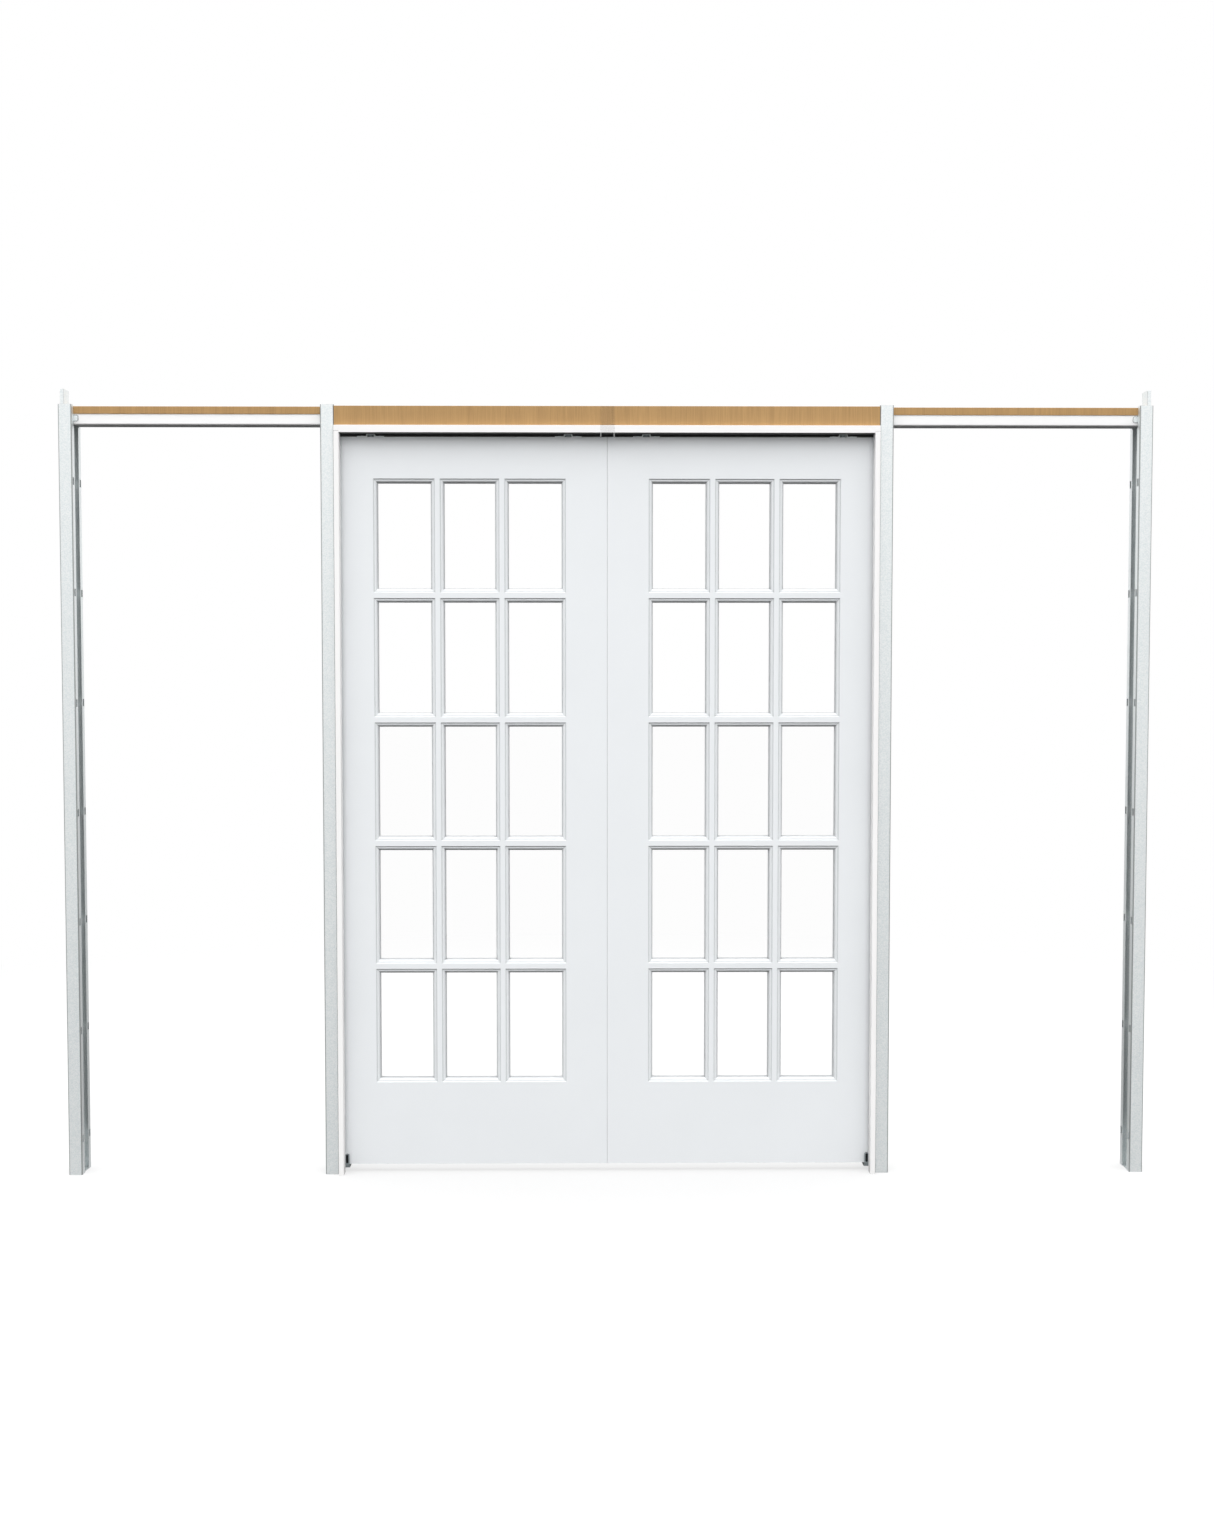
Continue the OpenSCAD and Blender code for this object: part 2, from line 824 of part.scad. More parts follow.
// Folded plate on the door's top, with a bridge over the bolt's head and a slot to hang it by
module hanger_plate(x) {
    translate([x, 0, 0])
        difference() {
            along_y(-plate_w / 2, plate_w / 2)
                difference() {
                    union() {
                        translate([-plate_l / 2, door_top])
                            square([plate_l, plate_t]);
                        translate([0, door_top])
                            arch(bridge_l, bridge_h, plate_fold_r);
                    }
                    translate([0, door_top - cut])
                        arch(bridge_l - 2 * plate_t, bridge_h - plate_t + cut, plate_fold_r - plate_t);
                }
            translate([0, 0, bridge_under - cut])
                cylinder(d = bolt_d + 2 * hole_gap, h = plate_t + 2 * cut);
            translate([-bolt_d / 2 - hole_gap, 0, bridge_under - cut])
                cube([bolt_d + 2 * hole_gap, plate_w, plate_t + 2 * cut]);
            for (side = [left, right])
                translate([side * plate_hole_x, 0, door_top - cut])
                    cylinder(d = plate_hole_d, h = plate_t + 2 * cut);
        }
}

// Bolt that hangs the plate from its trolley
module hanger_bolt(x) {
    translate([x, 0, bridge_under - bolt_head_h])
        cylinder(d = hex_d, h = bolt_head_h, $fn = 6);
    translate([x, 0, bridge_under])
        cylinder(d = bolt_d, h = trolley_top - bolt_cover - bridge_under);
}

// Nut that locks a hanger bolt on its plate
module lock_nut(x) {
    translate([x, 0, bridge_top])
        difference() {
            cylinder(d = hex_d, h = nut_h, $fn = 6);
            translate([0, 0, -cut])
                cylinder(d = bolt_d + 2 * hole_gap, h = nut_h + 2 * cut);
        }
}

// Round-ended trolley in the track, bored for its two axles and its bolt
module trolley(x) {
    translate([x, 0, 0])
        difference() {
            translate([0, 0, trolley_z])
                linear_extrude(trolley_h)
                    rotate(90)
                        upright_strip(trolley_w, trolley_l);
            for (side = [left, right])
                translate([side * wheel_base / 2, trolley_w, axle_z])
                    rotate([90, 0, 0])
                        cylinder(d = axle_d + 2 * axle_gap, h = 2 * trolley_w);
            translate([0, 0, trolley_z - cut])
                cylinder(d = bolt_d + 2 * hole_gap, h = trolley_h - bolt_cover + cut);
        }
}

// Axle with a wheel at each end
module wheels(x) {
    near = trolley_w / 2 + wheel_side_gap;
    far = near + wheel_w;
    half = [
        [axle_d / 2, near],
        [wheel_d / 2 - wheel_chamfer, near],
        [wheel_d / 2, near + wheel_chamfer],
        [wheel_d / 2, far - wheel_chamfer],
        [wheel_d / 2 - wheel_chamfer, far],
        [axle_d / 2, far],
        [axle_d / 2, far + axle_end],
        [0, far + axle_end]
    ];
    translate([x, 0, axle_z])
        rotate([90, 0, 0])
            rotate_extrude()
                polygon(concat(half, [for (i = [len(half) - 1:-1:0]) [half[i].x, -half[i].y]]));
}

// Place of one of a door's four axles, counted from the meeting edge
function axle_x(i) =
    (i < 2 ? inner_hanger_x : outer_hanger_x) + (i % 2 == 0 ? -1 : 1) * wheel_base / 2;

module left_end_stud() { color(zinc) placed(left) end_stud(); }
module right_end_stud() { color(zinc) placed(right) end_stud(); }
module left_end_bracket() { color(zinc) placed(left) end_bracket(); }
module right_end_bracket() { color(zinc) placed(right) end_bracket(); }
module left_front_split_stud() { color(zinc) placed(left, front) split_stud(); }
module left_rear_split_stud() { color(zinc) placed(left, rear) split_stud(); }
module right_front_split_stud() { color(zinc) placed(right, front) split_stud(); }
module right_rear_split_stud() { color(zinc) placed(right, rear) split_stud(); }
module left_floor_plate() { color(zinc) placed(left) floor_plate(); }
module right_floor_plate() { color(zinc) placed(right) floor_plate(); }

module stud_bumpers() {
    color(black_rubber)
        for (side = [left, right])
            placed(side)
                bumper();
}

module left_front_jamb() { color(primer) placed(left, front) side_jamb(); }
module left_rear_jamb() { color(primer) placed(left, rear) side_jamb(); }
module right_front_jamb() { color(primer) placed(right, front) side_jamb(); }
module right_rear_jamb() { color(primer) placed(right, rear) side_jamb(); }
module front_head_jamb() { color(primer) placed(right, front) head_jamb(); }
module rear_head_jamb() { color(primer) placed(right, rear) head_jamb(); }
module front_fascia() { color(pine) placed(right, front) fascia(); }
module rear_fascia() { color(pine) placed(right, rear) fascia(); }
module header_board() { color(pine) header(); }
module track() { color(white_paint) track_bar(); }

module track_stops() {
    color(black_rubber)
        for (side = [left, right])
            placed(side)
                track_stop();
}

module header_clips() {
    color(clear_plastic)
        for (face = [front, rear])
            placed(right, face)
                header_clip();
}

module left_floor_guide() { color(zinc) placed(left) floor_guide(); }
module right_floor_guide() { color(zinc) placed(right) floor_guide(); }

module guide_glides() {
    color(black_nylon)
        for (side = [left, right], face = [front, rear])
            placed(side, face)
                glide();
}

module guide_screws() {
    color(dark_zinc)
        for (side = [left, right], face = [front, rear])
            placed(side, face)
                guide_screw();
}

module left_outer_stile() { color(white_paint) placed(left) stile(door_edge, field_x + field_w, -1); }
module left_meeting_stile() { color(white_paint) placed(left) stile(door_x, field_x, 1); }
module left_top_rail() { color(white_paint) placed(left) rail(door_top, field_z + field_h, -1); }
module left_bottom_rail() { color(white_paint) placed(left) rail(floor_room, field_z, 1); }
module left_glazing_bars() { color(white_paint) placed(left) glazing_bars(); }
module left_glazing_beads() { color(white_paint) placed(left) glazing_beads(); }
module left_panes() { color(clear_glass) placed(left) panes(); }
module right_outer_stile() { color(white_paint) placed(right) stile(door_edge, field_x + field_w, -1); }
module right_meeting_stile() { color(white_paint) placed(right) stile(door_x, field_x, 1); }
module right_top_rail() { color(white_paint) placed(right) rail(door_top, field_z + field_h, -1); }
module right_bottom_rail() { color(white_paint) placed(right) rail(floor_room, field_z, 1); }
module right_glazing_bars() { color(white_paint) placed(right) glazing_bars(); }
module right_glazing_beads() { color(white_paint) placed(right) glazing_beads(); }
module right_panes() { color(clear_glass) placed(right) panes(); }

// Both hangers of one door
module hanger_pair(side) {
    for (x = [inner_hanger_x, outer_hanger_x])
        placed(side)
            hanger_plate(x);
}

module bolt_pair(side) {
    for (x = [inner_hanger_x, outer_hanger_x])
        placed(side)
            hanger_bolt(x);
}

module nut_pair(side) {
    for (x = [inner_hanger_x, outer_hanger_x])
        placed(side)
            lock_nut(x);
}

module left_hanger_plates() { color(zinc) hanger_pair(left); }
module left_hanger_bolts() { color(dark_zinc) bolt_pair(left); }
module left_lock_nuts() { color(dark_zinc) nut_pair(left); }
module left_inner_trolley() { color(dark_zinc) placed(left) trolley(inner_hanger_x); }
module left_outer_trolley() { color(dark_zinc) placed(left) trolley(outer_hanger_x); }
module left_wheels_1() { color(black_nylon) placed(left) wheels(axle_x(0)); }
module left_wheels_2() { color(black_nylon) placed(left) wheels(axle_x(1)); }
module left_wheels_3() { color(black_nylon) placed(left) wheels(axle_x(2)); }
module left_wheels_4() { color(black_nylon) placed(left) wheels(axle_x(3)); }
module right_hanger_plates() { color(zinc) hanger_pair(right); }
module right_hanger_bolts() { color(dark_zinc) bolt_pair(right); }
module right_lock_nuts() { color(dark_zinc) nut_pair(right); }
module right_inner_trolley() { color(dark_zinc) placed(right) trolley(inner_hanger_x); }
module right_outer_trolley() { color(dark_zinc) placed(right) trolley(outer_hanger_x); }
module right_wheels_1() { color(black_nylon) placed(right) wheels(axle_x(0)); }
module right_wheels_2() { color(black_nylon) placed(right) wheels(axle_x(1)); }
module right_wheels_3() { color(black_nylon) placed(right) wheels(axle_x(2)); }
module right_wheels_4() { color(black_nylon) placed(right) wheels(axle_x(3)); }

left_end_stud();
right_end_stud();
left_end_bracket();
right_end_bracket();
left_front_split_stud();
left_rear_split_stud();
right_front_split_stud();
right_rear_split_stud();
left_floor_plate();
right_floor_plate();
stud_bumpers();
left_front_jamb();
left_rear_jamb();
right_front_jamb();
right_rear_jamb();
front_head_jamb();
rear_head_jamb();
front_fascia();
rear_fascia();
header_board();
track();
track_stops();
header_clips();
left_floor_guide();
right_floor_guide();
guide_glides();
guide_screws();
left_outer_stile();
left_meeting_stile();
left_top_rail();
left_bottom_rail();
left_glazing_bars();
left_glazing_beads();
left_panes();
right_outer_stile();
right_meeting_stile();
right_top_rail();
right_bottom_rail();
right_glazing_bars();
right_glazing_beads();
right_panes();
left_hanger_plates();
left_hanger_bolts();
left_lock_nuts();
left_inner_trolley();
left_outer_trolley();
left_wheels_1();
left_wheels_2();
left_wheels_3();
left_wheels_4();
right_hanger_plates();
right_hanger_bolts();
right_lock_nuts();
right_inner_trolley();
right_outer_trolley();
right_wheels_1();
right_wheels_2();
right_wheels_3();
right_wheels_4();
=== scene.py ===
"""Looks of a pair of glazed pocket doors in their open pocket frame.

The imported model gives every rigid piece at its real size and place. This script gives each
piece its finish, adds the small fasteners and sets up the floor, the light and the camera.
Lengths are in metres: X runs along the wall, Y through it with the front at -Y, Z up.
"""

import json
import logging
import math
from abc import ABC, abstractmethod
from dataclasses import dataclass, field, replace
from enum import Enum

import bpy
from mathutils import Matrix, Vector


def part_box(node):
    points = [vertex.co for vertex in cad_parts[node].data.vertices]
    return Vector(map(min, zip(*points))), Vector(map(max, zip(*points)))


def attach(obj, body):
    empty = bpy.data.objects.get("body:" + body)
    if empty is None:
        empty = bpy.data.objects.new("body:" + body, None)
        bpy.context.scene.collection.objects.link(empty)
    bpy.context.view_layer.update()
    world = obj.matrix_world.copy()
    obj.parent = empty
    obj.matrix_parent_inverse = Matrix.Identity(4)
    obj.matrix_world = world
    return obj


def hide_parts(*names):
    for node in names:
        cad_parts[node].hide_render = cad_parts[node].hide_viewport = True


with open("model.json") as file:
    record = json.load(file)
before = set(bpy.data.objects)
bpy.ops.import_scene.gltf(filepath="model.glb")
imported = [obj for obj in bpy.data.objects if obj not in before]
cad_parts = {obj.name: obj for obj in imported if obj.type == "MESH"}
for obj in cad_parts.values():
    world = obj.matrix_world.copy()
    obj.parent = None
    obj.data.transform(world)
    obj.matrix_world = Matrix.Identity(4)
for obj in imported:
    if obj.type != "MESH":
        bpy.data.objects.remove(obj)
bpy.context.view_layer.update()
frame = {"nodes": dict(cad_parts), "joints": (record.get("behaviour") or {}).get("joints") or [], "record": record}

LOG = logging.getLogger("pocket_door")

Colour = tuple[float, float, float]
Place = tuple[float, float, float]
Range = tuple[float, float]
Socket = bpy.types.NodeSocket

WHITE: Colour = (1.0, 1.0, 1.0)
UNSTRETCHED: Place = (1.0, 1.0, 1.0)
ROUND_SIDES = 48
HEXAGON_SIDES = 6
HEXAGON_TURN = math.radians(30)
SMOOTH_ANGLE = math.radians(35)
# Least cosine between the normal of a face and the way that it is said to look.
FACING_COSINE = 0.9
# Distances that keep the limit of a finish clear of the edge or face that it follows.
LEG_MARGIN = 0.0005
FACE_MARGIN = 0.0003


class Side(Enum):
    """Side of the frame that a door slides to, as it starts the names of its pieces."""

    LEFT = "left"
    RIGHT = "right"


class Cut(Enum):
    """Way that a tool shape changes a piece."""

    JOIN = "UNION"
    TAKE_AWAY = "DIFFERENCE"
    KEEP_COMMON = "INTERSECT"


class Graph:
    """Adds shader nodes to one node tree and joins them."""

    def __init__(self, tree: bpy.types.NodeTree) -> None:
        """Takes over the node tree of a material or of the world, and empties it."""
        self.tree = tree
        tree.nodes.clear()

    def put(self, socket: Socket, value: object) -> None:
        """Sets an input to a value, or joins it to another node's output.

        Args:
            socket: Input to fill.
            value: Output socket, number, or colour of three numbers.
        """
        if isinstance(value, bpy.types.NodeSocket):
            self.tree.links.new(value, socket)
        elif socket.type == "RGBA":
            socket.default_value = (*value, 1.0)
        else:
            socket.default_value = value

    def add(self, kind: str, **inputs: object) -> bpy.types.Node:
        """Adds a node and sets or joins its inputs.

        Args:
            kind: Blender's name for the node.
            **inputs: Inputs by name, with _ for a space; a socket is joined, a value is set.

        Returns:
            The new node.
        """
        node = self.tree.nodes.new(kind)
        for name, value in inputs.items():
            self.put(node.inputs[name.replace("_", " ")], value)
        return node

    def add_filled(self, kind: str, *values: object) -> bpy.types.Node:
        """Adds a node and sets or joins its first inputs in their order.

        Args:
            kind: Blender's name for the node.
            *values: Sockets to join or values to set.

        Returns:
            The new node.
        """
        node = self.tree.nodes.new(kind)
        for socket, value in zip(node.inputs, values):
            self.put(socket, value)
        return node

    def math(self, operation: str, *values: object) -> Socket:
        """Works out one number from one or two others.

        Args:
            operation: Blender's name for the operation, such as ADD or MULTIPLY.
            *values: Numbers or sockets.

        Returns:
            Socket of the result.
        """
        node = self.add_filled("ShaderNodeMath", *values)
        node.operation = operation
        return node.outputs["Value"]

    def vector_math(self, operation: str, *values: object) -> bpy.types.Node:
        """Adds a node that works on vectors.

        Args:
            operation: Blender's name for the operation, such as SCALE or LENGTH.
            *values: Vectors or sockets.

        Returns:
            The new node.
        """
        node = self.add_filled("ShaderNodeVectorMath", *values)
        node.operation = operation
        return node

    def weighted(self, patterns: tuple[Socket, ...], weights: tuple[float, ...]) -> Socket:
        """Adds up patterns by their weights.

        Args:
            patterns: Sockets of the patterns.
            weights: Weight of each pattern.

        Returns:
            Socket of the sum.
        """
        total, *others = [self.math("MULTIPLY", *pair) for pair in zip(patterns, weights)]
        for product in others:
            total = self.math("ADD", total, product)
        return total

    def span(self, value: Socket, low: float, high: float) -> Socket:
        """Spreads a value of 0 to 1 over a range from low to high."""
        node = self.add("ShaderNodeMapRange", Value=value, To_Min=low, To_Max=high)
        return node.outputs["Result"]

    def share(self, value: Socket, start: float, end: float) -> Socket:
        """Tells how far a value has gone from a start to an end, as 0 to 1."""
        node = self.add("ShaderNodeMapRange", Value=value, From_Min=start, From_Max=end)
        return node.outputs["Result"]

    def ramp(self, value: Socket, spread: Range, *colours: Colour) -> Socket:
        """Turns a value of 0 to 1 into a colour.

        Args:
            value: Socket to colour.
            spread: Values at the first and the last colour.
            *colours: Colours at even steps.

        Returns:
            Socket of the colour.
        """
        node = self.add("ShaderNodeValToRGB", Fac=value)
        elements = node.color_ramp.elements
        while len(elements) < len(colours):
            elements.new(1.0)
        start, end = spread
        step = (end - start) / (len(colours) - 1)
        for index, (element, colour) in enumerate(zip(elements, colours)):
            element.position = start + index * step
            element.color = (*colour, 1.0)
        return node.outputs["Color"]

    def shaded(self, colour: Socket, share: Socket, factor: float) -> Socket:
        """Darkens a colour where a share is high.

        Args:
            colour: Socket of the colour.
            share: Socket of the share, 0 to 1.
            factor: Factor on the colour where the share is 1.

        Returns:
            Socket of the darker colour.
        """
        node = self.vector_math("SCALE", colour)
        self.put(node.inputs["Scale"], self.span(share, 1.0, factor))
        return node.outputs["Vector"]

    def painted_corner_shade(self, colour: Socket, reach: object) -> Socket:
        """Paints shade into the inner corners of its own piece.

        Args:
            colour: Socket of the colour.
            reach: Distance from a corner that it shows up to, as a number or a socket.

        Returns:
            Socket of the darker colour.
        """
        node = self.add("ShaderNodeAmbientOcclusion", Color=colour, Distance=reach)
        node.only_local = True
        return node.outputs["Color"]

    def parts(self, vector: Socket) -> dict[str, Socket]:
        """Splits a vector into its X, Y and Z by name."""
        node = self.add("ShaderNodeSeparateXYZ", Vector=vector)
        return {output.name: output for output in node.outputs}

    def place(self, scale: Place = UNSTRETCHED) -> Socket:
        """Gives the place on the object, with a factor along X, Y and Z."""
        coordinates = self.add("ShaderNodeTexCoord").outputs["Object"]
        return self.add("ShaderNodeMapping", Vector=coordinates, Scale=scale).outputs["Vector"]

    def noise(self, vector: Socket, scale: float, detail: float, rough: float) -> Socket:
        """Adds a cloudy pattern of about 0 to 1, with so many cells to the metre."""
        node = self.add(
            "ShaderNodeTexNoise", Vector=vector, Scale=scale, Detail=detail, Roughness=rough
        )
        return node.outputs["Fac"]

    def rounded(self, radius: Socket) -> Socket:
        """Gives the normal of a surface whose edges are rounded to a radius."""
        return self.add("ShaderNodeBevel", Radius=radius).outputs["Normal"]

    def bump(
        self, height: Socket, depth: float, strength: float, ground: Socket | None = None
    ) -> Socket:
        """Turns a pattern into small relief.

        Args:
            height: Socket of the pattern.
            depth: Depth of the relief in metres.
            strength: Share of the relief that shows.
            ground: Socket of the normal that the relief lies on, or None for the face's own.

        Returns:
            Socket of the changed normal.
        """
        node = self.add("ShaderNodeBump", Height=height, Distance=depth, Strength=strength)
        if ground is not None:
            self.put(node.inputs["Normal"], ground)
        return node.outputs["Normal"]

    def principled(self, **inputs: object) -> Socket:
        """Adds the shader of a common surface, with its inputs named as in add."""
        return self.add("ShaderNodeBsdfPrincipled", **inputs).outputs["BSDF"]

    def matt(self, tone: float) -> Socket:
        """Adds the shader of a grey surface that throws back a share of the light."""
        return self.add("ShaderNodeBsdfDiffuse", Color=(tone,) * 3).outputs["BSDF"]

    def glow(self, strength: float) -> Socket:
        """Adds the shader of a surface that gives white light."""
        return self.add("ShaderNodeEmission", Color=WHITE, Strength=strength).outputs["Emission"]

    def sky(self, strength: object) -> Socket:
        """Adds the shader of surroundings that give white light."""
        node = self.add("ShaderNodeBackground", Color=WHITE, Strength=strength)
        return node.outputs["Background"]

    def both(self, first: Socket, second: Socket) -> Socket:
        """Adds two shaders."""
        return self.add_filled("ShaderNodeAddShader", first, second).outputs["Shader"]

    def either(self, share: Socket, first: Socket, second: Socket) -> Socket:
        """Mixes two shaders by the share of the second one, 0 to 1."""
        return self.add_filled("ShaderNodeMixShader", share, first, second).outputs["Shader"]

    def surface(self, shader: Socket) -> None:
        """Sends a shader to the material's surface."""
        self.add("ShaderNodeOutputMaterial", Surface=shader)


@dataclass(frozen=True)
class Finish(ABC):
    """A surface finish, named as its material is."""

    name: str

    def material(self) -> bpy.types.Material:
        """Makes the finish as a new material.

        Returns:
            The material.
        """
        material = bpy.data.materials.new(self.name)
        material.use_nodes = True
        graph = Graph(material.node_tree)
        graph.surface(self.shader(graph))
        return material

    @abstractmethod
    def shader(self, graph: Graph) -> Socket:
        """Builds the shader of the finish.

        Args:
            graph: Node tree to build in.

        Returns:
            Socket of the shader.
        """


@dataclass(frozen=True)
class ZincSheet(Finish):
    """Zinc coated sheet: pale spangle, fine speckle and faint rolling streaks.

    Painted shade darkens it on the slanted faces of its upright bends, on its cut edges up to a given height and,
    towards the floor, on the faces that look along the wall at the doors, and in its inner corners. The painted
    shade fades out on its foot.
    """

    light: Colour
    dark: Colour
    metal: float
    smooth: float
    dull: float
    # Factors of painted shade on bends, on cut edges and on inner faces, and the reach of painted shade in inner
    # corners; 1 and 0 paint none.
    fold_shade: float = 1.0
    edges: float = 1.0
    inner_face_shade: float = 1.0
    corner: float = 0.0
    edge_width: float = 0.0015
    edge_top: float = 3.0
    # Painted shade on inner faces fades out up to this height; on the foot, below the next height, it and the
    # painted shade in corners fade out towards the floor.
    shade_fade_top: float = 1.5
    unshaded_foot: float = 0.15
    fold_slant: Range = (0.05, 0.3)
    inward_turn: Range = (-0.3, -0.7)
    edge_turn: Range = (0.99, 0.8)
    tones: Range = (0.25, 0.75)
    spangle: float = 420.0
    speckle: float = 1200.0
    streak: float = 120.0
    stretch: float = 0.04
    cloud: float = 2.5
    weights: tuple[float, ...] = (0.5, 0.3, 0.1, 0.1)
    relief_depth: float = 0.0001
    relief: float = 0.15

    def painted_sheet_shade(self, graph: Graph, colour: Socket) -> Socket:
        """Paints shade onto a colour on bends, cut edges and inner faces, and in the corners.

        Args:
            graph: Node tree to build in.
            colour: Colour of the flat sheet.

        Returns:
            Socket of the colour with its painted shade.
        """
        normal = graph.add("ShaderNodeNewGeometry").outputs["True Normal"]
        facing = graph.parts(normal)
        place = graph.parts(graph.place())
        # Painted shade on the slanted faces of upright bends.
        slant = graph.math("ABSOLUTE", graph.math("MULTIPLY", facing["X"], facing["Y"]))
        colour = graph.shaded(colour, graph.share(slant, *self.fold_slant), self.fold_shade)
        # Painted shade on the faces that look along the wall at the doors, strongest low down and fading out on
        # the foot.
        shade_above_foot = graph.share(place["Z"], 0.0, self.unshaded_foot)
        low = graph.math("MULTIPLY", graph.share(place["Z"], self.shade_fade_top, 0.0), shade_above_foot)
        turn = graph.math("MULTIPLY", facing["X"], place["X"])
        inward_shade = graph.math("MULTIPLY", graph.share(turn, *self.inward_turn), low)
        colour = graph.shaded(colour, inward_shade, self.inner_face_shade)
        # Painted shade along cut edges below a given height, where a rounded normal turns away from the true one.
        below = graph.math("LESS_THAN", place["Z"], self.edge_top)
        rounded = graph.rounded(graph.math("MULTIPLY", below, self.edge_width))
        bend = graph.vector_math("DOT_PRODUCT", normal, rounded).outputs["Value"]
        cut = graph.share(bend, *self.edge_turn)
        colour = graph.shaded(colour, cut, self.edges)
        # Painted shade in the inner corners, fading out on the foot.
        return graph.painted_corner_shade(colour, graph.math("MULTIPLY", shade_above_foot, self.corner))

    def shader(self, graph: Graph) -> Socket:
        """Builds the shader of the coated sheet.

        Args:
            graph: Node tree to build in.

        Returns:
            Socket of the shader.
        """
        place = graph.place()
        cells = graph.add("ShaderNodeTexVoronoi", Vector=place, Scale=self.spangle)
        flakes = graph.add("ShaderNodeSeparateColor", Color=cells.outputs["Color"]).outputs["Red"]
        grains = graph.noise(place, self.speckle, detail=2.0, rough=0.6)
        upright = graph.place((1.0, 1.0, self.stretch))
        streaks = graph.noise(upright, self.streak, detail=3.0, rough=0.5)
        clouds = graph.noise(place, self.cloud, detail=3.0, rough=0.5)
        mixed = graph.weighted((flakes, grains, streaks, clouds), self.weights)
        colour = graph.ramp(mixed, self.tones, self.dark, self.light)
        # Painted shade on bends, cut edges, inner faces and inner corners.
        if self.corner > 0.0:
            colour = self.painted_sheet_shade(graph, colour)
        return graph.principled(
            Base_Color=colour,
            Metallic=self.metal,
            Roughness=graph.span(mixed, self.smooth, self.dull),
            Normal=graph.bump(grains, self.relief_depth, self.relief),
        )


@dataclass(frozen=True)
class BarePine(Finish):
    """Bare planed softwood: streaks along the upright grain with slow changes of tone."""

    pale: Colour
    warm: Colour
    deep: Colour
    smooth: float
    dull: float
    streak: float = 55.0
    fine_streak: float = 385.0
    stretch: float = 0.03
    cloud: float = 1.3
    weights: tuple[float, ...] = (0.25, 0.6, 0.15)
    tones: Range = (0.3, 0.7)
    relief_depth: float = 0.0003
    relief: float = 0.25

    def shader(self, graph: Graph) -> Socket:
        """Builds the shader of the bare wood.

        Args:
            graph: Node tree to build in.

        Returns:
            Socket of the shader.
        """
        upright = graph.place((1.0, 1.0, self.stretch))
        broad = graph.noise(upright, self.streak, detail=3.0, rough=0.55)
        fine = graph.noise(upright, self.fine_streak, detail=3.0, rough=0.6)
        slow = graph.noise(graph.place(), self.cloud, detail=2.0, rough=0.5)
        mixed = graph.weighted((broad, fine, slow), self.weights)
        return graph.principled(
            Base_Color=graph.ramp(mixed, self.tones, self.deep, self.warm, self.pale),
            Roughness=graph.span(fine, self.smooth, self.dull),
            Normal=graph.bump(fine, self.relief_depth, self.relief),
        )


@dataclass(frozen=True)
class SatinPaint(Finish):
    """Smooth paint: an even colour with faint clouds and the texture that a roller leaves.

    Painted shade darkens the faces that look down or at the doors, and less so the edges that look along the wall.
    The coat rounds the corners that it flows over, and painted shade can darken them up to a given distance.
    """

    light: Colour
    dark: Colour
    smooth: float
    dull: float
    sheen: float = 0.5
    # Factors of painted shade on the faces that look down or at the doors and on the edges that look along the
    # wall, and the reach of painted shade in inner corners; 1 and 0 paint none.
    hidden_shade: float = 1.0
    edge: float = 1.0
    corner: float = 0.0
    flow: float = 0.0
    flow_depth: float = 0.0
    down_turn: Range = (-0.1, -0.65)
    inward_turn: Range = (-0.005, -0.02)
    side_turn: Range = (0.1, 0.65)
    tones: Range = (0.3, 0.7)
    cloud: float = 3.0
    orange_peel: float = 260.0
    relief_depth: float = 0.0002
    relief: float = 0.12

    def coat(self, graph: Graph, colour: Socket, ground: Socket) -> Socket:
        """Paints shade onto a colour on the faces that look down or at the doors and on the sideways edges.

        Args:
            graph: Node tree to build in.
            colour: Colour without the painted shade.
            ground: Normal of the coat.

        Returns:
            Socket of the colour with its painted shade.
        """
        facing = graph.parts(ground)
        turn = graph.math("MULTIPLY", facing["Y"], graph.parts(graph.place())["Y"])
        inward_shade = graph.share(turn, *self.inward_turn)
        hidden = graph.math("MAXIMUM", graph.share(facing["Z"], *self.down_turn), inward_shade)
        colour = graph.shaded(colour, hidden, self.hidden_shade)
        sideways = graph.share(graph.math("ABSOLUTE", facing["X"]), *self.side_turn)
        return graph.shaded(colour, sideways, self.edge)

    def ground(self, graph: Graph) -> Socket:
        """Gives the normal of the coat, which rounds the corners behind the outer faces.

        Args:
            graph: Node tree to build in.

        Returns:
            Socket of the normal.
        """
        if self.flow == 0.0:
            return graph.add("ShaderNodeNewGeometry").outputs["Normal"]
        depth = graph.math("ABSOLUTE", graph.parts(graph.place())["Y"])
        behind = graph.math("LESS_THAN", depth, self.flow_depth)
        return graph.rounded(graph.math("MULTIPLY", behind, self.flow))

    def shader(self, graph: Graph) -> Socket:
        """Builds the shader of the paint.

        Args:
            graph: Node tree to build in.

        Returns:
            Socket of the shader.
        """
        place = graph.place()
        clouds = graph.noise(place, self.cloud, detail=4.0, rough=0.55)
        peel = graph.noise(place, self.orange_peel, detail=2.0, rough=0.5)
        colour = graph.ramp(clouds, self.tones, self.dark, self.light)
        ground = self.ground(graph)
        # Painted shade on the faces that look down or at the doors and on the sideways edges.
        if self.hidden_shade < 1.0:
            colour = self.coat(graph, colour, ground)
        # Painted shade in the inner corners.
        if self.corner > 0.0:
            colour = graph.painted_corner_shade(colour, self.corner)
        return graph.principled(
            Base_Color=colour,
            Roughness=graph.span(peel, self.smooth, self.dull),
            Normal=graph.bump(peel, self.relief_depth, self.relief, ground),
            Specular_IOR_Level=self.sheen,
        )


@dataclass(frozen=True)
class ClearGlass(Finish):
    """Clear float glass."""

    tint: Colour
    bending: float = 1.45

    def shader(self, graph: Graph) -> Socket:
        """Builds the shader of clear glass."""
        return graph.principled(
            Base_Color=self.tint, Roughness=0.0, IOR=self.bending, Transmission_Weight=1.0
        )


